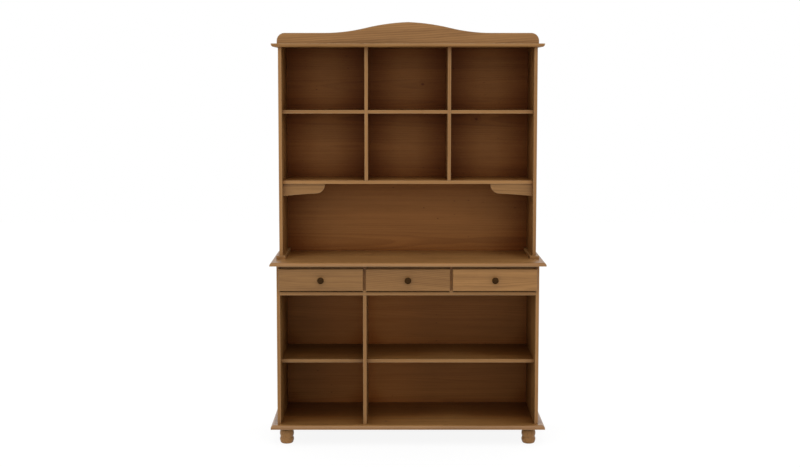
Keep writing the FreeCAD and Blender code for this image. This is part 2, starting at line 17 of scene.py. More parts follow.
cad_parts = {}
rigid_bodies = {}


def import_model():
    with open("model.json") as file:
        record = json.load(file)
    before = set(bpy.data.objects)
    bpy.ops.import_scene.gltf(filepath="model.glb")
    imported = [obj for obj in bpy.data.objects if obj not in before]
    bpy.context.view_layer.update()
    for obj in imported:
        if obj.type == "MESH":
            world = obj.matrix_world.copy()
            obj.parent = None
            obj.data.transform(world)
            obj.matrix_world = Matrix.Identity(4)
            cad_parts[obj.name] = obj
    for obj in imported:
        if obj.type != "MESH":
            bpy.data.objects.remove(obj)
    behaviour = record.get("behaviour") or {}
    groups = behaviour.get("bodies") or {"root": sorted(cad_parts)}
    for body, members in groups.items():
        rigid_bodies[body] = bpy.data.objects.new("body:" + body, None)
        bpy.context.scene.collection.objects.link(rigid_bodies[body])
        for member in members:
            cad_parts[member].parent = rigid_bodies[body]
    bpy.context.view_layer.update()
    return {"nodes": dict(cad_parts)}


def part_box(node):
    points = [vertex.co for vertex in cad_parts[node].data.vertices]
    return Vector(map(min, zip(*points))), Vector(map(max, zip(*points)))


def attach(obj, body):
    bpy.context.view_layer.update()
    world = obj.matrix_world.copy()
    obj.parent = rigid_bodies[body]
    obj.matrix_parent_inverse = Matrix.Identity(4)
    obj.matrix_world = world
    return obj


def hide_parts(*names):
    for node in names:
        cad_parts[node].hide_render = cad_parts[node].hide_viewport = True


for leftover in list(bpy.data.objects):
    bpy.data.objects.remove(leftover)
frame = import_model()
nodes = frame["nodes"]

# %% [markdown]
# ## The camera
#
# The dresser is seen square on, from a little above its middle and through a long lens, so the uprights
# stay nearly parallel and each shelf shows only a thin strip of its top. A short lens close by would fill
# the frame as well, but it would splay the uprights. Lenses are given in millimetres on a 36 mm sensor,
# and the two shifts slide the picture without tilting the camera any further.

# %% Place the camera
camera_place = Vector((-0.05, -6.0, 1.6))
camera_looks_down = math.radians(5.17)
camera_lens = 60.7
camera_slide = (0.0045, -0.04)

camera = bpy.data.objects.new("camera", bpy.data.cameras.new("camera"))
bpy.context.scene.collection.objects.link(camera)
camera.location = camera_place
camera.rotation_euler = (math.pi / 2 - camera_looks_down, 0, 0)
camera.data.lens = camera_lens
camera.data.shift_x, camera.data.shift_y = camera_slide
bpy.context.scene.camera = camera

# %% [markdown]
# ## A few words for wiring nodes
#
# Every finish below is a node tree. Trees can be drawn by hand in the shader editor, or built from code,
# where long chains soon hide what they do. These short helpers let a line of code read like the sum that
# it stands for, and most of them hand back a socket that the next line can use.

# %% Node helpers
def feed(tree, node, wires):
    """Give a node's inputs what they need: a socket is linked, a plain value is set."""
    for name, value in wires.items():
        if isinstance(value, bpy.types.NodeSocket):
            tree.links.new(value, node.inputs[name])
        else:
            node.inputs[name].default_value = value


def put(tree, kind, wires, **settings):
    """Add a node, make its settings and feed its inputs."""
    node = tree.nodes.new(kind)
    for name, value in settings.items():
        setattr(node, name, value)
    feed(tree, node, wires)
    return node


def calc(tree, operation, *values):
    """One step of arithmetic."""
    return put(tree, "ShaderNodeMath", dict(enumerate(values)), operation=operation).outputs[0]


def weighted(tree, start, *parts):
    """A start value, plus each of the other values times its weight."""
    total = start
    for value, weight in parts:
        total = calc(tree, "MULTIPLY_ADD", value, weight, total)
    return total


def centred(tree, value):
    """A value between 0 and 1, moved to lie round 0."""
    return calc(tree, "SUBTRACT", value, 0.5)


def ramp(tree, value, start, end, low=0.0, high=1.0):
    """A smooth step from low to high while the value goes from start to end."""
    wires = {"Value": value, "From Min": start, "From Max": end, "To Min": low, "To Max": high}
    return put(tree, "ShaderNodeMapRange", wires, interpolation_type="SMOOTHSTEP").outputs["Result"]


def vector_of(tree, x, y, z):
    """Three values as one vector."""
    return put(tree, "ShaderNodeCombineXYZ", {"X": x, "Y": y, "Z": z}).outputs[0]


def parts_of(tree, vector):
    """The three values of a vector."""
    return put(tree, "ShaderNodeSeparateXYZ", {"Vector": vector}).outputs


def scaled(tree, vector, factor):
    """A vector made longer by a factor."""
    return put(tree, "ShaderNodeVectorMath", {0: vector, "Scale": factor}, operation="SCALE").outputs[0]


print("helpers for sums and vectors ready")

# %% [markdown]
# ## Patterns, mixes and groups
#
# A finish also needs patterns that vary it, mixes that lay one colour over another, and groups that pack
# a whole effect into one node. The nodes of an effect could be copied into every material, but a group is
# built once, mended once, and given other values in each finish that uses it.

# %% Pattern and group helpers
def noise(tree, vector, detail=2.0):
    """Cloudy values from 0 to 1, one cloud per unit of the vector; the second output is a colour."""
    wires = {"Vector": vector, "Scale": 1.0, "Detail": detail}
    return put(tree, "ShaderNodeTexNoise", wires).outputs


def chance(tree, number):
    """A fixed random value and colour for each whole number."""
    return put(tree, "ShaderNodeTexWhiteNoise", {"W": number}, noise_dimensions="1D").outputs


def blend(tree, share, first, second):
    """A value between two others."""
    return put(tree, "ShaderNodeMix", {0: share, 2: first, 3: second}).outputs[0]


def tint(tree, share, first, second):
    """A colour between two others."""
    return put(tree, "ShaderNodeMix", {0: share, 6: first, 7: second}, data_type="RGBA").outputs[2]


def shader_group(name, inputs, outputs):
    """A node group with named sockets: hands back its tree, what it is given and its output node."""
    tree = bpy.data.node_groups.new(name, "ShaderNodeTree")
    for label, (kind, value) in inputs.items():
        socket = tree.interface.new_socket(label, in_out="INPUT", socket_type="NodeSocket" + kind)
        socket.default_value = value
    for label, kind in outputs.items():
        tree.interface.new_socket(label, in_out="OUTPUT", socket_type="NodeSocket" + kind)
    return tree, tree.nodes.new("NodeGroupInput").outputs, tree.nodes.new("NodeGroupOutput")


print("helpers for patterns and groups ready")

# %% [markdown]
# ## The figure of pine
#
# A pine board shows the tree's yearly rings, cut along: a pale band of spring wood, a darker line of
# autumn wood, then a sharp start of the next year. A stretched noise looks streaky but never like rings,
# so here each stave is cut from a round trunk: the distance to a wandering heart line, counted in ring
# widths, gives the year. Wide boards are glued up from staves, so every stave gets a heart of its own,
# and because the pattern is solid, the end grain comes out as arcs without further work.

# %% Pine figure: staves and rings
no_vector = (0.0, 0.0, 0.0)
some_colour = (0.5, 0.5, 0.5, 1.0)
figure, given, figure_result = shader_group(
    "pine figure",
    {
        "Vector": ("Vector", no_vector),
        "Board width": ("Float", 0.3),
        "Stave width": ("Float", 0.09),
        "Ring width": ("Float", 0.0045),
        "Knots": ("Float", 0.2),
        "Pins": ("Float", 0.0),
        "Seed": ("Float", 0.0),
        "Pale": ("Color", some_colour),
        "Dark": ("Color", some_colour),
        "Knot": ("Color", some_colour),
    },
    {"Colour": "Color", "Roughness": "Float", "Height": "Float"},
)
seed_step = 3.71
along, across, through = parts_of(figure, given["Vector"])
along = weighted(figure, along, (given["Seed"], seed_step))
stave_place = calc(figure, "DIVIDE", across, given["Stave width"])
first_stave = calc(figure, "MULTIPLY", given["Seed"], seed_step)
stave = calc(figure, "ADD", calc(figure, "FLOOR", stave_place), first_stave)
stave_tone, stave_colour = chance(figure, stave)
heart_side, heart_depth, lean = parts_of(figure, stave_colour)
in_stave = calc(figure, "MULTIPLY", calc(figure, "FRACT", stave_place), given["Stave width"])

heart_spread = 0.16
heart_nearest = 0.015
heart_range = 0.06
taper = 0.035
wander = 0.02
wander_step = 17.0
bends_along = 1.4
bends_across = 5.0
wander_vector = vector_of(
    figure,
    weighted(figure, calc(figure, "MULTIPLY", along, bends_along), (stave, wander_step)),
    calc(figure, "MULTIPLY", across, bends_across),
    calc(figure, "MULTIPLY", through, bends_across),
)
wander_side, wander_depth, _ = parts_of(figure, noise(figure, wander_vector)[1])
heart_side = centred(figure, heart_side)
from_heart = weighted(figure, in_stave, (heart_side, heart_spread), (wander_side, wander))
heart_under = weighted(figure, heart_nearest, (heart_depth, heart_range))
below = weighted(figure, calc(figure, "ADD", heart_under, through), (wander_depth, wander))
radius = put(
    figure, "ShaderNodeVectorMath", {0: vector_of(figure, 0.0, from_heart, below)}, operation="LENGTH"
).outputs["Value"]
lean = calc(figure, "MULTIPLY", centred(figure, lean), taper)
radius = weighted(figure, radius, (along, lean))
print("figure has", len(figure.nodes), "nodes for staves and rings")

# %% [markdown]
# ## Knots
#
# A knot is a branch cut across. The rings of the trunk bulge round it, so the knot first pushes the ring
# count outwards and then gets a dark core of its own. Dots scattered on top would look stuck on. Voronoi
# cells give one possible knot each, and a random number per cell decides which of them is there. Pin
# knots, the traces of twigs, come the same way from smaller cells and bend no rings.

# %% Pine figure: knots
knot_cell = 0.17
knot_smallest = 0.0025
knot_range = 0.005
knot_margin = 0.02
knot_stretch = 1.4
pin_cell = 0.05
pin_smallest = 0.0013
pin_range = 0.0013


def scattered(cell, smallest, size_range, share):
    """Spots in some cells, clear of the board's edges: which, their radius and how near they are."""
    vector = vector_of(
        figure,
        calc(figure, "DIVIDE", along, cell * knot_stretch),
        calc(figure, "ADD", calc(figure, "DIVIDE", across, cell), given["Seed"]),
        0.0,
    )
    wires = {"Vector": vector, "Scale": 1.0}
    cells = put(figure, "ShaderNodeTexVoronoi", wires, voronoi_dimensions="2D").outputs
    pick, size, _ = parts_of(figure, cells["Color"])
    spot_radius = weighted(figure, smallest, (size, size_range))
    middle = calc(figure, "SUBTRACT", parts_of(figure, cells["Position"])[1], given["Seed"])
    middle = calc(figure, "MULTIPLY", middle, cell)
    to_edge = calc(figure, "MINIMUM", middle, calc(figure, "SUBTRACT", given["Board width"], middle))
    here = calc(figure, "LESS_THAN", pick, share)
    here = calc(figure, "MULTIPLY", here, calc(figure, "GREATER_THAN", to_edge, knot_margin))
    near = calc(figure, "DIVIDE", calc(figure, "MULTIPLY", cells["Distance"], cell), spot_radius)
    return here, spot_radius, near


# Where a spot fades out and where it is solid, in radii of the spot.
pin_rim, pin_solid = 1.3, 0.5
core_rim, core_solid = 1.2, 0.7
halo_rim, halo_solid = 4.0, 0.6
bulge_height = 2.5

knot_here, knot_radius, knot_near = scattered(knot_cell, knot_smallest, knot_range, given["Knots"])
pin_here, _, pin_near = scattered(pin_cell, pin_smallest, pin_range, given["Pins"])
pin = calc(figure, "MULTIPLY", ramp(figure, pin_near, pin_rim, pin_solid), pin_here)
knot_core = calc(figure, "MULTIPLY", ramp(figure, knot_near, core_rim, core_solid), knot_here)
knot_halo = calc(figure, "MULTIPLY", ramp(figure, knot_near, halo_rim, halo_solid), knot_here)
bulge = calc(figure, "MULTIPLY", calc(figure, "MULTIPLY", knot_halo, knot_radius), bulge_height)
print("figure has", len(figure.nodes), "nodes with its knots")

# %% [markdown]
# ## The colour of the years
#
# Spring wood is pale, and the autumn line is denser, darker and a little smoother. The years could be
# painted as even stripes, but no two summers are alike, so each year gets its own strength, and streaks,
# fibres and pores run over all of them. Everything stays low in contrast, because a brown stain evens
# pine out.

# %% Pine figure: colour and relief
autumn_start, autumn_full = 0.25, 0.88
year_end, next_year = 0.9, 1.0
faintest_year = 0.4
years = calc(figure, "DIVIDE", calc(figure, "ADD", radius, bulge), given["Ring width"])
season = calc(figure, "FRACT", years)
autumn = calc(
    figure,
    "MULTIPLY",
    ramp(figure, season, autumn_start, autumn_full),
    ramp(figure, season, year_end, next_year, 1.0, 0.0),
)
year_tone = chance(figure, calc(figure, "FLOOR", years))[0]
year_strength = weighted(figure, faintest_year, (year_tone, 1.0 - faintest_year))
autumn = calc(figure, "MULTIPLY", autumn, year_strength)

cloud_step = 9.1


def stretched(length, width, detail):
    """Clouds drawn out along the grain, with a typical length and width in metres."""
    vector = vector_of(
        figure,
        weighted(figure, calc(figure, "DIVIDE", along, length), (stave, cloud_step)),
        calc(figure, "DIVIDE", across, width),
        calc(figure, "DIVIDE", through, width),
    )
    return centred(figure, noise(figure, vector, detail)[0])


pore_start, pore_full = 0.13, 0.24
streak = stretched(length=0.5, width=0.022, detail=3.0)
fibre = stretched(length=0.03, width=0.0009, detail=1.0)
pore = ramp(figure, stretched(length=0.06, width=0.0016, detail=0.0), pore_start, pore_full)

spring_darkness = 0.22
spring_roughness = 0.46
pin_weight = 0.6
pin_colour = (0.050, 0.020, 0.008, 1.0)
stave_shade = centred(figure, stave_tone)
darkness = weighted(
    figure, spring_darkness, (autumn, 0.5), (streak, 1.1), (fibre, 0.35), (stave_shade, 0.3), (pore, 0.2)
)
darkness = put(figure, "ShaderNodeClamp", {"Value": darkness}).outputs[0]
knot_dark = weighted(figure, 0.0, (knot_halo, 0.16), (knot_core, 0.8))
colour = tint(figure, darkness, given["Pale"], given["Dark"])
colour = tint(figure, knot_dark, colour, given["Knot"])
colour = tint(figure, calc(figure, "MULTIPLY", pin, pin_weight), colour, pin_colour)
gloss = weighted(figure, spring_roughness, (autumn, -0.07), (fibre, 0.16), (pore, 0.1))
relief = weighted(figure, 0.0, (autumn, 0.6), (fibre, 0.5), (knot_core, 0.5), (pore, -0.5))
feed(figure, figure_result, {"Colour": colour, "Roughness": gloss, "Height": relief})
print("figure has", len(figure.nodes), "nodes in all")

# %% [markdown]
# ## Rubbed edges
#
# Hands and dusters wear the stain thin along a board's corners, and a finisher's sandpaper does the same
# on the first day. Painting that by hand would fit one board only. The Bevel node looks at the surface
# around each point and bends the normal near a corner, so comparing it with the true normal marks every
# corner of any shape. A little noise keeps the wear uneven, and the Ambient Occlusion node leaves out the
# corners that are shut in a joint, where nothing rubs.

# %% Rubbed edge group
rubbed, given, rubbed_result = shader_group(
    "rubbed edge", {"Vector": ("Vector", no_vector), "Width": ("Float", 0.003)}, {"Edge": "Float"}
)
hardly_bent, fully_bent = 0.995, 0.8
scuffs_per_metre = 45.0
scuff_start, scuff_full = 0.3, 0.65
least_wear = 0.35
joint_reach = 0.012
shut_in, open_enough = 0.6, 0.9
edge_rays = 4

bent_normal = put(rubbed, "ShaderNodeBevel", {"Radius": given["Width"]}, samples=edge_rays).outputs[0]
true_normal = put(rubbed, "ShaderNodeNewGeometry", {}).outputs["Normal"]
normals = {0: bent_normal, 1: true_normal}
agreement = put(rubbed, "ShaderNodeVectorMath", normals, operation="DOT_PRODUCT").outputs["Value"]
corner = ramp(rubbed, agreement, hardly_bent, fully_bent)
scuff_noise = noise(rubbed, scaled(rubbed, given["Vector"], scuffs_per_metre), detail=3.0)[0]
scuffs = ramp(rubbed, scuff_noise, scuff_start, scuff_full, least_wear, 1.0)
around = put(rubbed, "ShaderNodeAmbientOcclusion", {"Distance": joint_reach}, samples=edge_rays)
reachable = ramp(rubbed, around.outputs["AO"], shut_in, open_enough)
worn = calc(rubbed, "MULTIPLY", corner, calc(rubbed, "MULTIPLY", scuffs, reachable))
feed(rubbed, rubbed_result, {"Edge": worn})
print("rubbed edge has", len(rubbed.nodes), "nodes")

# %% [markdown]
# ## Painted corner shade
#
# Where boards meet, a bay is darker and redder in its corners, and this group paints that shade into
# the colour, on top of the shade that the light casts there. A gradient could be fitted to each bay, but
# every bay is different. The Ambient Occlusion node feels how closed in a point is, up to a set distance,
# and works in any corner. The colour is raised to a power, which makes it darker and redder, and the
# power grows where a point is closed in.

# %% Painted corner shade group
corners, given, corners_result = shader_group(
    "painted corner shade",
    {
        "Colour": ("Color", some_colour),
        "Darkening power": ("Float", 1.0),
        "Reach": ("Float", 0.2),
        "Strength": ("Float", 0.5),
    },
    {"Colour": "Color"},
)
half_open = 0.75
corner_rays = 8
around = put(corners, "ShaderNodeAmbientOcclusion", {"Distance": given["Reach"]}, samples=corner_rays)
closed_in = ramp(corners, around.outputs["AO"], half_open, 0.0)
# Painted shade: the more closed in a point is, the higher the power that darkens its colour.
painted_shade = calc(corners, "MULTIPLY", closed_in, given["Strength"])
darkening_power = calc(corners, "ADD", painted_shade, given["Darkening power"])
deepened = put(corners, "ShaderNodeGamma", {"Color": given["Colour"], "Gamma": darkening_power}).outputs[0]
feed(corners, corners_result, {"Colour": deepened})
print("painted corner shade has", len(corners.nodes), "nodes")

# %% [markdown]
# ## An empty finish to start from
#
# Every finish is a material with one shader, and the shared groups feed it. The frame's pieces come with
# plain materials that are named after what the piece is made of. Those names could be typed again, but
# they are read here, so that each kind of wood below knows its own pieces.

# %% Materials and pieces
relief_strength = 0.6


def blank_finish(name):
    """A new material with only a shader in it."""
    material = bpy.data.materials.new(name)
    material.use_nodes = True
    tree = material.node_tree
    tree.nodes.clear()
    shader = tree.nodes.new("ShaderNodeBsdfPrincipled")
    output = tree.nodes.new("ShaderNodeOutputMaterial")
    tree.links.new(shader.outputs[0], output.inputs["Surface"])
    return material, tree, shader


def use_group(tree, group, wires):
    """Place a shader group in a material's tree."""
    return put(tree, "ShaderNodeGroup", wires, node_tree=group).outputs


def object_place(tree):
    """Where a point lies on its own piece, in metres."""
    return put(tree, "ShaderNodeTexCoord", {}).outputs["Object"]


def relief_normal(tree, height, depth):
    """A normal from a height map whose full range is a depth in metres."""
    wires = {"Height": height, "Distance": depth, "Strength": relief_strength}
    return put(tree, "ShaderNodeBump", wires).outputs[0]


def dress(name, material):
    """Give a piece of the frame its finish."""
    nodes[name].material_slots[0].material = material


slots = {}
for name in sorted(nodes):
    slots.setdefault(nodes[name].material_slots[0].material.name, []).append(name)
print({slot: len(names) for slot, names in slots.items()})

# %% [markdown]
# ## Laying the grain on a board
#
# A joiner lays the grain along a board's length, because wood is strong that way. Each board could be
# given its direction by hand, but its own box already tells: the longest side is the grain, the next one
# runs across the face and the shortest goes through. A Mapping node turns the object's coordinates that
# way, with the board's edge at zero, and from there one recipe serves every board. A board sawn askew from
# one wide plank shows slanting rings, so the grain can also be given a slope.

# %% Grain coordinates
widest_stave = 0.095
single_stave = 0.6
single_middle = 0.1


def unit(axis):
    """A step of one metre along an axis."""
    return Vector([1.0 if place == axis else 0.0 for place in range(3)])


def grain_of(node):
    """Axes of a board by size: along the grain, across the face, through the thickness."""
    low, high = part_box(node)
    size = high - low
    return sorted(range(3), key=lambda axis: -size[axis])


def face_width(node):
    """The width of a board's face, across its grain."""
    low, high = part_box(node)
    return (high - low)[grain_of(node)[1]]


def grain_mapping(tree, node, axes, slope=0.0):
    """Coordinates with X along the grain, Y from the board's edge and Z from its face."""
    low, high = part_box(node)
    turn = Matrix([unit(axis) for axis in axes])
    if turn.determinant() < 0:
        turn[2] = -turn[2]
    ends = (turn @ low, turn @ high)
    start = Vector([min(ends[0][place], ends[1][place]) for place in range(3)])
    if slope:
        tilt = Matrix.Rotation(slope, 3, "Z")
        middle = turn @ (low + high) / 2
        turn = tilt @ turn
        start = tilt @ middle - Vector((middle.x - start.x, single_middle, middle.z - start.z))
    wires = {"Vector": object_place(tree), "Location": -start, "Rotation": turn.to_euler()}
    return put(tree, "ShaderNodeMapping", wires, vector_type="POINT").outputs[0]


def stave_width(width):
    """The width of each stave, so that whole staves make up the board."""
    return width / max(1, round(width / widest_stave))


def pine(tree, node, seed, colours, rings, knots, pins=0.0, slope=0.0):
    """The pine figure on a board: the coordinates that it follows and what it hands out."""
    vector = grain_mapping(tree, node, grain_of(node), slope)
    pale, dark, knot = colours
    wood = use_group(tree, figure, {
        "Vector": vector,
        "Board width": face_width(node),
        "Stave width": single_stave if slope else stave_width(face_width(node)),
        "Ring width": rings,
        "Knots": knots,
        "Pins": pins,
        "Seed": seed,
        "Pale": pale,
        "Dark": dark,
        "Knot": knot,
    })
    return vector, wood


print("the worktop is", round(face_width("worktop"), 3), "m wide across its grain")

# %% [markdown]
# ## Stain colours and tones
#
# No two boards take stain alike: a dense one stays pale and an open one drinks it in. One tone for all
# would look printed, so single boards have a tone of their own, partly for that real difference in stain
# and partly as painted light and shade, matched to how bright each board looks where it stands. Corners
# get painted shade, reaching and deepening by board, and beside the lower divider less of it, which is
# painted light there.

# %% Stain
stain_pale = (0.290, 0.144, 0.046, 1.0)
stain_dark = (0.150, 0.066, 0.018, 1.0)
stain_knot = (0.050, 0.022, 0.009, 1.0)
stain_thin = (0.370, 0.275, 0.165, 1.0)
# Tones per board, partly real differences in stain and partly painted light and shade.
board_tones = {
    "crest_board": 0.97,
    "bracket_left": 0.82,
    "bracket_right": 0.82,
    "drawer_left_front": 0.74,
    "drawer_middle_front": 0.82,
    "drawer_right_front": 0.94,
    "worktop": 1.05,
    "base_board": 1.02,
    "drawer_deck": 0.89,
    "hutch_bottom_shelf": 1.12,
    "hutch_top_board": 0.95,
    "lower_divider": 0.91,
    "lower_shelf_left": 0.8,
    "lower_shelf_right": 0.9,
}
# Painted corner shade: how far it reaches in metres, and how much it adds to the power of the colour.
board_corner_shade = (0.3, 0.55)
special_corner_shade = {
    "worktop": (0.3, 0.85),
    "base_board": (0.36, 1.0),
    "lower_shelf_left": (0.36, 0.48),
    "lower_shelf_right": (0.36, 0.76),
    "hutch_bottom_shelf": (0.3, 1.0),
    "hutch_rail_left": (0.04, 0.8),
    "hutch_rail_right": (0.04, 0.8),
}
clear_of_corner_shade = (
    "foot", "crest", "lower_divider", "drawer_left", "drawer_middle", "drawer_right", "drawer_top"
)
# Painted light beside the lower divider: within this reach of its middle the painted corner shade is
# weaker.
divider_middle = sum(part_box("lower_divider"), Vector()).x / 2
divider_reach = 0.34
less_corner_shade_beside_divider = {"base_board": 0.35, "lower_shelf_right": 0.4}


def toned(colour, tone):
    """A colour made darker or paler by a share."""
    return [tone * value for value in colour[:3]] + [1.0]


def beside_divider(tree):
    """1 at the lower divider, falling to 0 on both sides of it."""
    off_middle = calc(tree, "SUBTRACT", parts_of(tree, object_place(tree))[0], divider_middle)
    return ramp(tree, calc(tree, "ABSOLUTE", off_middle), divider_reach, 0.0)


print("boards with a tone of their own:", len(board_tones))

# %% [markdown]
# ## Stained and varnished pine
#
# The visible boards carry a warm brown stain under satin varnish. One shared material would repeat the
# same rings on every shelf, so each board gets its own, cut from another place of the same trunk by a
# seed. The varnish is the shader's coat, thin and not quite smooth, and the edge wear mixes in a paler
# brown where the stain is rubbed thin.

# %% Finish the stained boards
ring_width = 0.0045
# Slope of the grain in degrees, and the width of the rings.
sloping_grain = {"crest_board": (-4.0, 0.009), "drawer_middle_front": (5.0, 0.007)}
board_knots = 0.16
narrowest_knotty = 0.2
board_relief = 0.0002
edge_wear = 0.6
edge_width = 0.006
stain_shine = 0.2
plain_coat = 0.05
thick_coats = {"worktop": 0.2, "base_board": 0.5}
varnish_roughness = 0.25


def stained_board(node, seed):
    """The finish of one stained board."""
    tone = board_tones.get(node, 1.0)
    degrees, rings = sloping_grain.get(node, (0.0, ring_width))
    knots = board_knots if face_width(node) > narrowest_knotty else 0.0
    material, tree, shader = blank_finish("stained " + node)
    colours = (toned(stain_pale, tone), toned(stain_dark, tone), stain_knot)
    vector, wood = pine(tree, node, seed, colours, rings, knots, slope=math.radians(degrees))
    edge = use_group(tree, rubbed, {"Vector": vector, "Width": edge_width})["Edge"]
    colour = tint(tree, calc(tree, "MULTIPLY", edge, edge_wear), wood["Colour"], stain_thin)
    # Painted shade in the corners, with part of it taken away beside the lower divider as painted light.
    if not node.startswith(clear_of_corner_shade):
        reach, strength = special_corner_shade.get(node, board_corner_shade)
        if node in less_corner_shade_beside_divider:
            shade_taken_away = less_corner_shade_beside_divider[node]
            strength = weighted(tree, strength, (beside_divider(tree), -shade_taken_away))
        deeper = {"Colour": colour, "Reach": reach, "Strength": strength}
        colour = use_group(tree, corners, deeper)["Colour"]
    feed(tree, shader, {
        "Base Color": colour,
        "Roughness": wood["Roughness"],
        "Normal": relief_normal(tree, wood["Height"], board_relief),
        "Specular IOR Level": stain_shine,
        "Coat Weight": thick_coats.get(node, plain_coat),
        "Coat Roughness": varnish_roughness,
    })
    return material


for seed, name in enumerate(slots["stained_pine"]):
    dress(name, stained_board(name, float(seed)))
print("stained boards:", len(slots["stained_pine"]))

# %% [markdown]
# ## The thin back panels
#
# The backs of the bays are thin boards faced with stained veneer. Seen from behind they are raw pressed
# fibre, with the faint mesh that the press leaves. Two materials on two sides would need the mesh cut,
# which a frame piece doesn't allow, so one material asks how deep into the panel a point lies and shows
# the veneer on the front half and the fibre on the rear half. The veneer gets painted shade in its
# corners, and beside the lower divider it is made paler, which is painted light.

# %% Finish the back panels
panel_seed = 50.0
veneer_pale = (0.290, 0.129, 0.041, 1.0)
veneer_dark = (0.215, 0.091, 0.028, 1.0)
veneer_knot = (0.150, 0.055, 0.018, 1.0)
veneer_rings = 0.006
veneer_knots = 0.12
veneer_pins = 0.15
# Power that the veneer's colour is raised to, darker and redder, and the reach and added power of the
# painted corner shade.
panel_power_and_corner_shade = {"hutch_back_panel": (1.07, 0.22, 1.0), "lower_back_panel": (1.19, 0.1, 0.6)}
painted_light_beside_divider = {"lower_back_panel": 0.5}
fibre_pale = (0.330, 0.205, 0.105, 1.0)
fibre_dark = (0.215, 0.122, 0.058, 1.0)
fibre_roughness = 0.8
press_mesh = 0.0022
mesh_weight = 0.5
mottles_per_metre = 260.0
clouds_per_metre = 7.0
cloud_weight = 0.7
panel_relief = 0.0002
panel_shine = 0.06


def faced_panel(node, seed):
    """Veneer in front, pressed fibre behind."""
    low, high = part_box(node)
    material, tree, shader = blank_finish("panel " + node)
    colours = (veneer_pale, veneer_dark, veneer_knot)
    _, veneer = pine(tree, node, seed, colours, veneer_rings, veneer_knots, pins=veneer_pins)
    # Painted light: the veneer is made paler beside the lower divider.
    paler = weighted(tree, 1.0, (beside_divider(tree), painted_light_beside_divider.get(node, 0.0)))
    lightened_veneer = put(tree, "ShaderNodeHueSaturation", {"Color": veneer["Colour"], "Value": paler})
    # Painted shade in the veneer's corners.
    darkening_power, reach, strength = panel_power_and_corner_shade[node]
    deeper = {"Colour": lightened_veneer.outputs[0], "Darkening power": darkening_power, "Reach": reach, "Strength": strength}
    front = use_group(tree, corners, deeper)["Colour"]

    place = object_place(tree)
    side, depth, rise = parts_of(tree, place)
    behind = calc(tree, "GREATER_THAN", depth, (low.y + high.y) / 2)
    clouds = centred(tree, noise(tree, scaled(tree, place, clouds_per_metre), detail=5.0)[0])
    mottle = noise(tree, scaled(tree, place, mottles_per_metre), detail=4.0)[0]
    mottle = weighted(tree, mottle, (clouds, cloud_weight))
    pressed = tint(tree, mottle, fibre_dark, fibre_pale)
    turns = math.tau / press_mesh
    waves = [calc(tree, "SINE", calc(tree, "MULTIPLY", way, turns)) for way in (side, rise)]
    mesh_print = weighted(tree, mottle, (calc(tree, "MULTIPLY", *waves), mesh_weight))
    height = blend(tree, behind, veneer["Height"], mesh_print)
    feed(tree, shader, {
        "Base Color": tint(tree, behind, front, pressed),
        "Roughness": blend(tree, behind, veneer["Roughness"], fibre_roughness),
        "Normal": relief_normal(tree, height, panel_relief),
        "Specular IOR Level": panel_shine,
    })
    return material


for seed, name in enumerate(slots["back_panel"]):
    dress(name, faced_panel(name, panel_seed + seed))
print("faced panels:", slots["back_panel"])

# %% [markdown]
# ## Inside the drawers
#
# Drawer boxes are left unstained: clear-sealed pine sides and backs, and a bottom of thin plywood that
# slides in a groove. The same pine figure serves with pale colours, and a rougher, uncoated surface. The
# plywood is peeled round the log, so its rings are wide and lazy, and its edge shows three plies.

# %% Finish the drawer boxes
box_seed = 70.0
bottom_seed = 90.0
bare_pale = (0.640, 0.450, 0.240, 1.0)
bare_dark = (0.440, 0.265, 0.115, 1.0)
bare_knot = (0.170, 0.080, 0.030, 1.0)
bare_rings = 0.004
bare_knots = 0.1
bare_relief = 0.0003
bare_shine = 0.3
rougher_by = 0.16
ply_pale = (0.560, 0.400, 0.225, 1.0)
ply_dark = (0.430, 0.285, 0.145, 1.0)
ply_rings = 0.02
plies = 3
middle_ply = 1.0
half_a_ply = 0.5
core_shade = 0.6


def core_ply(tree, node, vector):
    """1 in the middle ply of a drawer bottom, 0 in the outer two."""
    low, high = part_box(node)
    thickness = (high.z - low.z) / plies
    layer = calc(tree, "FLOOR", calc(tree, "DIVIDE", parts_of(tree, vector)[2], thickness))
    return calc(tree, "COMPARE", layer, middle_ply, half_a_ply)


def bare_wood(node, seed, pale, dark, rings, plywood):
    """Unstained pine or plywood, sealed but not varnished."""
    material, tree, shader = blank_finish("bare " + node)
    vector, wood = pine(tree, node, seed, (pale, dark, bare_knot), rings, bare_knots)
    colour = wood["Colour"]
    if plywood:
        core = calc(tree, "MULTIPLY", core_ply(tree, node, vector), core_shade)
        colour = tint(tree, core, colour, bare_dark)
    feed(tree, shader, {
        "Base Color": colour,
        "Roughness": calc(tree, "ADD", wood["Roughness"], rougher_by),
        "Normal": relief_normal(tree, wood["Height"], bare_relief),
        "Specular IOR Level": bare_shine,
    })
    return material


for seed, name in enumerate(slots["drawer_pine"]):
    dress(name, bare_wood(name, box_seed + seed, bare_pale, bare_dark, bare_rings, plywood=False))
for seed, name in enumerate(slots["drawer_bottom"]):
    dress(name, bare_wood(name, bottom_seed + seed, ply_pale, ply_dark, ply_rings, plywood=True))
print("drawer boxes:", len(slots["drawer_pine"]), "boards and", len(slots["drawer_bottom"]), "bottoms")

# %% [markdown]
# ## Beech where things rub
#
# Drawer runners and dowels are beech: close-grained, pale pink-brown and covered in short dark flecks.
# Flecks are too small to model and too regular for plain noise, so two stretched noises are used, a soft
# one for the tone and a sharp one, cut off high, for the flecks.

# %% Finish the runners and dowels
beech_pale = (0.560, 0.380, 0.235, 1.0)
beech_dark = (0.420, 0.260, 0.145, 1.0)
beech_fleck = (0.255, 0.140, 0.070, 1.0)
beech_relief = 0.0001
beech_roughness = 0.48
tones_per_metre = (90.0, 14.0, 90.0)
flecks_per_metre = (1400.0, 240.0, 1400.0)
fleck_start, fleck_full = 0.58, 0.7
fleck_weight = 0.6
fleck_roughness = 0.12


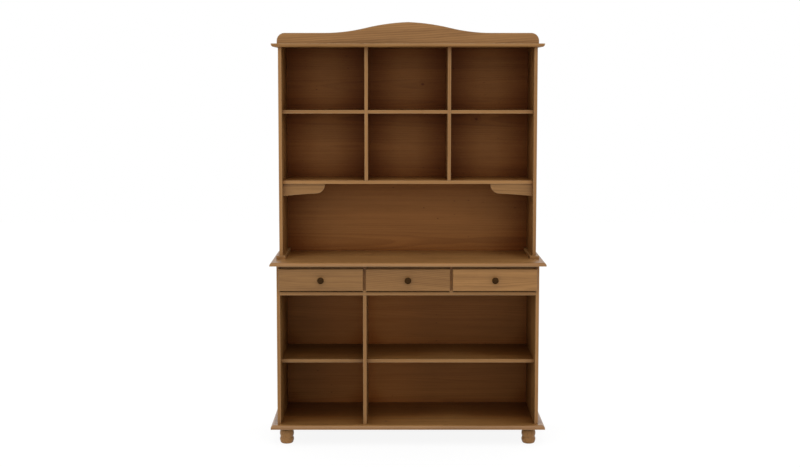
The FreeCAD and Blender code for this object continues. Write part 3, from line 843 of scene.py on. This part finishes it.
def stretched_place(tree, per_metre):
    """Object coordinates counted in clouds per metre along each axis."""
    return put(tree, "ShaderNodeMapping", {"Vector": object_place(tree), "Scale": per_metre}).outputs[0]


def beech(node):
    """Beech with its grain from front to rear."""
    material, tree, shader = blank_finish("beech " + node)
    tone = noise(tree, stretched_place(tree, tones_per_metre), detail=3.0)[0]
    fleck_noise = noise(tree, stretched_place(tree, flecks_per_metre), detail=1.0)[0]
    flecks = ramp(tree, fleck_noise, fleck_start, fleck_full)
    wood = tint(tree, tone, beech_pale, beech_dark)
    height = calc(tree, "SUBTRACT", tone, flecks)
    feed(tree, shader, {
        "Base Color": tint(tree, calc(tree, "MULTIPLY", flecks, fleck_weight), wood, beech_fleck),
        "Roughness": weighted(tree, beech_roughness, (flecks, fleck_roughness)),
        "Normal": relief_normal(tree, height, beech_relief),
    })
    return material


for name in slots["hardwood"]:
    dress(name, beech(name))
print("beech pieces:", slots["hardwood"])

# %% [markdown]
# ## Dark turned knobs
#
# The knobs are turned from a close-grained wood and stained almost black-brown, smoother than the boards
# because fingers polish them. They take the pine figure with tight rings and dark colours, and the rubbed
# edge shows a lighter brown round the rim, where a thumb pulls.

# %% Finish the knobs
knob_seed = 110.0
knob_pale = (0.036, 0.015, 0.002, 1.0)
knob_dark = (0.018, 0.007, 0.001, 1.0)
knob_rim = (0.120, 0.060, 0.012, 1.0)
knob_axes = (1, 2, 0)
knob_rings = 0.0016
knob_relief = 0.00008
knob_wear = 0.2
knob_wear_width = 0.0025
knob_shine = 0.05
knob_coat = 0.02
smoother_by = 0.1


def turned_knob(node, seed):
    """A dark knob with its grain from front to rear."""
    low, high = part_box(node)
    material, tree, shader = blank_finish("knob " + node)
    vector = grain_mapping(tree, node, knob_axes)
    wood = use_group(tree, figure, {
        "Vector": vector,
        "Board width": (high - low).z,
        "Stave width": (high - low).z,
        "Ring width": knob_rings,
        "Knots": 0.0,
        "Seed": seed,
        "Pale": knob_pale,
        "Dark": knob_dark,
        "Knot": knob_dark,
    })
    edge = use_group(tree, rubbed, {"Vector": vector, "Width": knob_wear_width})["Edge"]
    feed(tree, shader, {
        "Base Color": tint(tree, calc(tree, "MULTIPLY", edge, knob_wear), wood["Colour"], knob_rim),
        "Roughness": calc(tree, "SUBTRACT", wood["Roughness"], smoother_by),
        "Normal": relief_normal(tree, wood["Height"], knob_relief),
        "Specular IOR Level": knob_shine,
        "Coat Weight": knob_coat,
        "Coat Roughness": varnish_roughness,
    })
    return material


for seed, name in enumerate(slots["knob"]):
    dress(name, turned_knob(name, knob_seed + seed))
print("knobs:", slots["knob"])

# %% [markdown]
# ## Zinc-plated steel
#
# Screws, bolts and shelf pins are plain steel with a dull zinc coat, which is never quite even: the
# crystals of the plating give faint cloudy patches. A single grey would look like plastic, so a noise
# moves both the colour and the roughness a little.

# %% Finish the hardware
zinc_pale = (0.62, 0.61, 0.59, 1.0)
zinc_dark = (0.40, 0.39, 0.38, 1.0)
zinc_roughness = 0.22
patch_roughness = 0.25
zinc_relief = 0.00005
patches_per_metre = (900.0, 900.0, 900.0)


def zinc(name):
    """Steel with a cloudy zinc coat."""
    material, tree, shader = blank_finish(name)
    patches = noise(tree, stretched_place(tree, patches_per_metre), detail=3.0)[0]
    feed(tree, shader, {
        "Base Color": tint(tree, patches, zinc_dark, zinc_pale),
        "Roughness": weighted(tree, zinc_roughness, (patches, patch_roughness)),
        "Normal": relief_normal(tree, patches, zinc_relief),
        "Metallic": 1.0,
    })
    return material


steel = zinc("zinc-plated steel")
for name in slots["steel"]:
    dress(name, steel)
print("steel pieces:", slots["steel"])

# %% [markdown]
# ## Cross-head screws
#
# The back panels, the runners and the knobs are held by cross-head screws. The frame has them as plain
# studs in the right places, so the studs only have to be dressed. Copying a modelled screw by hand to
# fifty places is dull work, and Geometry Nodes do it from a cloud of points instead: one screw is built
# from its sizes, set on every point, turned to face outwards and given a random twist, as a fitter
# leaves them.

# %% The screw as a node tree
screw = bpy.data.node_groups.new("cross-head screw", "GeometryNodeTree")
screw_sizes = {
    "Head radius": ("Float", 0.003),
    "Head height": ("Float", 0.0016),
    "Countersunk": ("Bool", False),
    "Shank radius": ("Float", 0.0015),
    "Shank length": ("Float", 0.018),
    "Seed": ("Int", 1),
}
screw.interface.new_socket("Geometry", in_out="INPUT", socket_type="NodeSocketGeometry")
for label, (kind, value) in screw_sizes.items():
    screw.interface.new_socket(label, in_out="INPUT", socket_type="NodeSocket" + kind).default_value = value
screw.interface.new_socket("Material", in_out="INPUT", socket_type="NodeSocketMaterial")
screw.interface.new_socket("Geometry", in_out="OUTPUT", socket_type="NodeSocketGeometry")
asked = screw.nodes.new("NodeGroupInput").outputs
screw_result = screw.nodes.new("NodeGroupOutput")

head_sides = 28
head_rings = 16
dome_power = 0.55


def moved_up(geometry, height):
    """A part of the screw, moved along its axis."""
    wires = {"Geometry": geometry, "Translation": vector_of(screw, 0.0, 0.0, height)}
    return put(screw, "GeometryNodeTransform", wires).outputs[0]


ball_sizes = {"Segments": head_sides, "Rings": head_rings, "Radius": 1.0}
ball = put(screw, "GeometryNodeMeshUVSphere", ball_sizes).outputs["Mesh"]
ball_x, ball_y, ball_z = parts_of(screw, screw.nodes.new("GeometryNodeInputPosition").outputs[0])
dome = calc(screw, "POWER", calc(screw, "MAXIMUM", ball_z, 0.0), dome_power)
pan_place = vector_of(
    screw,
    calc(screw, "MULTIPLY", ball_x, asked["Head radius"]),
    calc(screw, "MULTIPLY", ball_y, asked["Head radius"]),
    calc(screw, "MULTIPLY", dome, asked["Head height"]),
)
pan_head = put(screw, "GeometryNodeSetPosition", {"Geometry": ball, "Position": pan_place}).outputs[0]
cone = put(screw, "GeometryNodeMeshCone", {
    "Vertices": head_sides,
    "Radius Top": asked["Head radius"],
    "Radius Bottom": asked["Shank radius"],
    "Depth": asked["Head height"],
}).outputs["Mesh"]
sunk_head = moved_up(cone, calc(screw, "MULTIPLY", asked["Head height"], -1.0))
head = put(
    screw, "GeometryNodeSwitch", {"Switch": asked["Countersunk"], "False": pan_head, "True": sunk_head}
).outputs[0]
print("screw tree has", len(screw.nodes), "nodes for the head")

# %% [markdown]
# ## The recess, the shank and the points
#
# The cross is cut with two thin boxes by a boolean, because a painted cross would vanish from the side.
# The shank is a slim cone that ends in a point. Named inputs keep the sizes outside the tree, so pan heads
# and countersunk heads come from the same few nodes.

# %% Recess, shank and instances
recess_length = 1.15
recess_width = 0.26
recess_depth = 1.3
shank_sides = 16
tip_share = 0.25

top_of_head = put(
    screw,
    "GeometryNodeSwitch",
    {"Switch": asked["Countersunk"], "False": asked["Head height"], "True": 0.0},
    input_type="FLOAT",
).outputs[0]
arm_length = calc(screw, "MULTIPLY", asked["Head radius"], recess_length)
arm_width = calc(screw, "MULTIPLY", asked["Head radius"], recess_width)
arm_depth = calc(screw, "MULTIPLY", asked["Head height"], recess_depth)
cut = put(screw, "GeometryNodeMeshBoolean", {"Mesh 1": head}, operation="DIFFERENCE", solver="EXACT")
for x_size, y_size in ((arm_length, arm_width), (arm_width, arm_length)):
    arm_size = vector_of(screw, x_size, y_size, arm_depth)
    arm = put(screw, "GeometryNodeMeshCube", {"Size": arm_size}).outputs["Mesh"]
    screw.links.new(moved_up(arm, top_of_head), cut.inputs["Mesh 2"])
shank = put(screw, "GeometryNodeMeshCone", {
    "Vertices": shank_sides,
    "Radius Top": asked["Shank radius"],
    "Radius Bottom": calc(screw, "MULTIPLY", asked["Shank radius"], tip_share),
    "Depth": asked["Shank length"],
}).outputs["Mesh"]
shank = moved_up(shank, calc(screw, "MULTIPLY", asked["Shank length"], -1.0))
whole = screw.nodes.new("GeometryNodeJoinGeometry")
screw.links.new(cut.outputs["Mesh"], whole.inputs[0])
screw.links.new(shank, whole.inputs[0])

facing = put(screw, "GeometryNodeInputNamedAttribute", {"Name": "facing"}, data_type="FLOAT_VECTOR")
outwards = put(screw, "FunctionNodeAlignRotationToVector", {"Vector": facing.outputs[0]}, axis="Z")
spread_screws = put(screw, "GeometryNodeInstanceOnPoints", {
    "Points": asked["Geometry"],
    "Instance": whole.outputs[0],
    "Rotation": outwards.outputs[0],
}).outputs[0]
twist_range = {2: 0.0, 3: math.pi / 2, "Seed": asked["Seed"]}
twist = put(screw, "FunctionNodeRandomValue", twist_range, data_type="FLOAT").outputs[1]
twisted = put(screw, "GeometryNodeRotateInstances", {
    "Instances": spread_screws,
    "Rotation": vector_of(screw, 0.0, 0.0, twist),
}).outputs[0]
solid_screws = put(screw, "GeometryNodeRealizeInstances", {"Geometry": twisted}).outputs[0]
plated = put(screw, "GeometryNodeSetMaterial", {"Geometry": solid_screws, "Material": asked["Material"]})
screw.links.new(plated.outputs[0], screw_result.inputs[0])
print("screw tree has", len(screw.nodes), "nodes in all")

# %% [markdown]
# ## Where the screws sit
#
# Each stud of the frame says where a screw sits: its box gives the axis, and its wider end is the head.
# The places could be typed again, but then a screw could drift away from its hole, so they are read from
# the frame. One piece holds many studs, and walking along the mesh's edges tells them apart.

# %% Read the studs
same_point = 1e-6
same_level = 1e-5


def points_middle(points):
    """The middle of the box round some points."""
    low = Vector([min(point[axis] for point in points) for axis in range(3)])
    high = Vector([max(point[axis] for point in points) for axis in range(3)])
    return (low + high) / 2


def loose_studs(node):
    """The corner points of each separate stud in a node."""
    work = bmesh.new()
    work.from_mesh(nodes[node].data)
    bmesh.ops.remove_doubles(work, verts=work.verts, dist=same_point)
    waiting = set(work.verts)
    studs = []
    while waiting:
        found = [waiting.pop()]
        for vertex in found:
            for edge in vertex.link_edges:
                other = edge.other_vert(vertex)
                if other in waiting:
                    waiting.remove(other)
                    found.append(other)
        studs.append([vertex.co.copy() for vertex in found])
    work.free()
    return sorted(studs, key=lambda points: tuple(round(value, 4) for value in points_middle(points)))


def stud_head(points):
    """Where a stud's head ends, the way that it faces, its radius and the stud's length."""
    middle = points_middle(points)
    reach = [max(abs(point[axis] - middle[axis]) for point in points) for axis in range(3)]
    axis = reach.index(max(reach))
    width = {}
    for side in (-1, 1):
        end = middle[axis] + side * reach[axis]
        tips = [point for point in points if abs(point[axis] - end) < same_level]
        width[side] = max((tip - middle - side * reach[axis] * unit(axis)).length for tip in tips)
    side = 1 if width[1] > width[-1] else -1
    return middle + side * reach[axis] * unit(axis), side * unit(axis), width[side], 2 * reach[axis]


print("studs in the back panels:", len(loose_studs("back_panel_screws")))

# %% [markdown]
# ## Setting the screws
#
# A point is set at each head, with the way that it faces stored beside it, and the node tree grows the
# screws there. The finished screws are turned into one plain mesh for each body, because a modifier would
# be left behind when the model is exported.

# %% Set the screws
sharpest_smooth = math.radians(35)


def set_screws(piece_name, node, body, head_height, shank_radius, countersunk):
    """Replace a node's studs with cross-head screws that ride on its body."""
    heads = [stud_head(points) for points in loose_studs(node)]
    sink = 0.0 if countersunk else head_height
    cloud = bpy.data.meshes.new(piece_name + "_points")
    cloud.from_pydata([tip - way * sink for tip, way, radius, length in heads], [], [])
    ways = cloud.attributes.new("facing", "FLOAT_VECTOR", "POINT")
    for place, (tip, way, radius, length) in enumerate(heads):
        ways.data[place].vector = way
    maker = bpy.data.objects.new(piece_name + "_maker", cloud)
    bpy.context.scene.collection.objects.link(maker)
    modifier = maker.modifiers.new("screws", "NODES")
    modifier.node_group = screw
    sizes = {
        "Head radius": heads[0][2],
        "Head height": head_height,
        "Countersunk": countersunk,
        "Shank radius": shank_radius,
        "Shank length": heads[0][3] - sink,
        "Seed": len(heads),
        "Material": steel,
    }
    for socket in screw.interface.items_tree:
        if socket.in_out == "INPUT" and socket.name in sizes:
            modifier[socket.identifier] = sizes[socket.name]
    ready = maker.evaluated_get(bpy.context.evaluated_depsgraph_get())
    mesh = bpy.data.meshes.new_from_object(ready)
    bpy.data.objects.remove(maker)
    mesh.shade_smooth()
    mesh.set_sharp_from_angle(angle=sharpest_smooth)
    piece = bpy.data.objects.new(piece_name, mesh)
    bpy.context.scene.collection.objects.link(piece)
    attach(piece, body)
    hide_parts(node)
    print(piece_name, "has", len(heads), "screws and", len(mesh.polygons), "faces")


panel_screw = {"head_height": 0.0016, "shank_radius": 0.0015, "countersunk": False}
runner_screw = {"head_height": 0.0026, "shank_radius": 0.00175, "countersunk": True}
knob_screw = {"head_height": 0.0024, "shank_radius": 0.002, "countersunk": False}
set_screws("panel_screws_cross_head", "back_panel_screws", "cabinet", **panel_screw)
set_screws("runner_screws_cross_head", "runner_screws", "cabinet", **runner_screw)
for drawer in ("drawer_left", "drawer_middle", "drawer_right"):
    set_screws(drawer + "_knob_screw_cross_head", drawer + "_knob_screw", drawer, **knob_screw)

# %% [markdown]
# ## Floor and background
#
# The dresser stands on a plain white ground that runs into a white background. A very bright lamp would
# wash out the wood to get there. Instead, what the camera and reflections see of the sky is plain white,
# and the floor glows a little for them while it still takes the dresser's soft shadow. For the light that
# falls on the wood, floor and sky stay at an ordinary level.

# %% Floor
floor_half = 9.0
floor_drop = 0.0005
ground_level = 0.88
shadow_share = 0.1


def grey(level):
    """A colour without hue."""
    return (level, level, level, 1.0)


def seen_directly(tree):
    """1 for what the camera, a reflection or clear glass looks at, 0 for light on its way to a surface."""
    path = put(tree, "ShaderNodeLightPath", {}).outputs
    seen = calc(tree, "MAXIMUM", path["Is Camera Ray"], path["Is Glossy Ray"])
    return calc(tree, "MAXIMUM", seen, path["Is Transmission Ray"])


floor_mesh = bpy.data.meshes.new("floor")
square = ((-1, -1), (1, -1), (1, 1), (-1, 1))
floor_corners = [(x * floor_half, y * floor_half, -floor_drop) for x, y in square]
floor_mesh.from_pydata(floor_corners, [], [(0, 1, 2, 3)])
floor = bpy.data.objects.new("floor", floor_mesh)
bpy.context.scene.collection.objects.link(floor)
ground = bpy.data.materials.new("pale ground")
ground.use_nodes = True
tree = ground.node_tree
tree.nodes.clear()
white = grey(1.0)
matt = put(tree, "ShaderNodeBsdfDiffuse", {"Color": grey(ground_level)}).outputs[0]
shaded = put(tree, "ShaderNodeBsdfDiffuse", {"Color": grey(shadow_share)}).outputs[0]
glow = put(tree, "ShaderNodeEmission", {"Color": white, "Strength": 1.0 - shadow_share}).outputs[0]
bright = put(tree, "ShaderNodeAddShader", {0: shaded, 1: glow}).outputs[0]
shown = put(tree, "ShaderNodeMixShader", {0: seen_directly(tree), 1: matt, 2: bright}).outputs[0]
put(tree, "ShaderNodeOutputMaterial", {"Surface": shown})
floor_mesh.materials.append(ground)
print("floor is", 2 * floor_half, "m wide")

# %% [markdown]
# ## Light
#
# The light is a studio's: an even white surround, with one wide soft box above and in front. The surround
# alone would leave the wood flat, and a small hard lamp would throw sharp shadows into the bays. A large
# soft box lets the upper faces catch a little more than the fronts, while the bays fall off gently into
# dark brown.

# %% World and soft box
surround_level = 1.22
lamp_place = Vector((0.0, -3.4, 4.2))
lamp_target = Vector((0.0, 0.0, 0.9))
lamp_width = 4.5
lamp_height = 3.0
lamp_watts = 50.0

world = bpy.data.worlds.new("white surround")
bpy.context.scene.world = world
world.use_nodes = True
tree = world.node_tree
tree.nodes.clear()
lighting = put(tree, "ShaderNodeBackground", {"Color": white, "Strength": surround_level}).outputs[0]
backdrop = put(tree, "ShaderNodeBackground", {"Color": white, "Strength": 1.0}).outputs[0]
mixed = put(tree, "ShaderNodeMixShader", {0: seen_directly(tree), 1: lighting, 2: backdrop}).outputs[0]
put(tree, "ShaderNodeOutputWorld", {"Surface": mixed})

lamp = bpy.data.lights.new("soft box", "AREA")
lamp.shape = "RECTANGLE"
lamp.size = lamp_width
lamp.size_y = lamp_height
lamp.energy = lamp_watts
stand = bpy.data.objects.new("soft box", lamp)
bpy.context.scene.collection.objects.link(stand)
stand.location = lamp_place
stand.rotation_euler = (lamp_target - lamp_place).to_track_quat("-Z", "Y").to_euler()
bpy.context.scene.view_settings.view_transform = "Standard"
print("a white surround and one soft box")
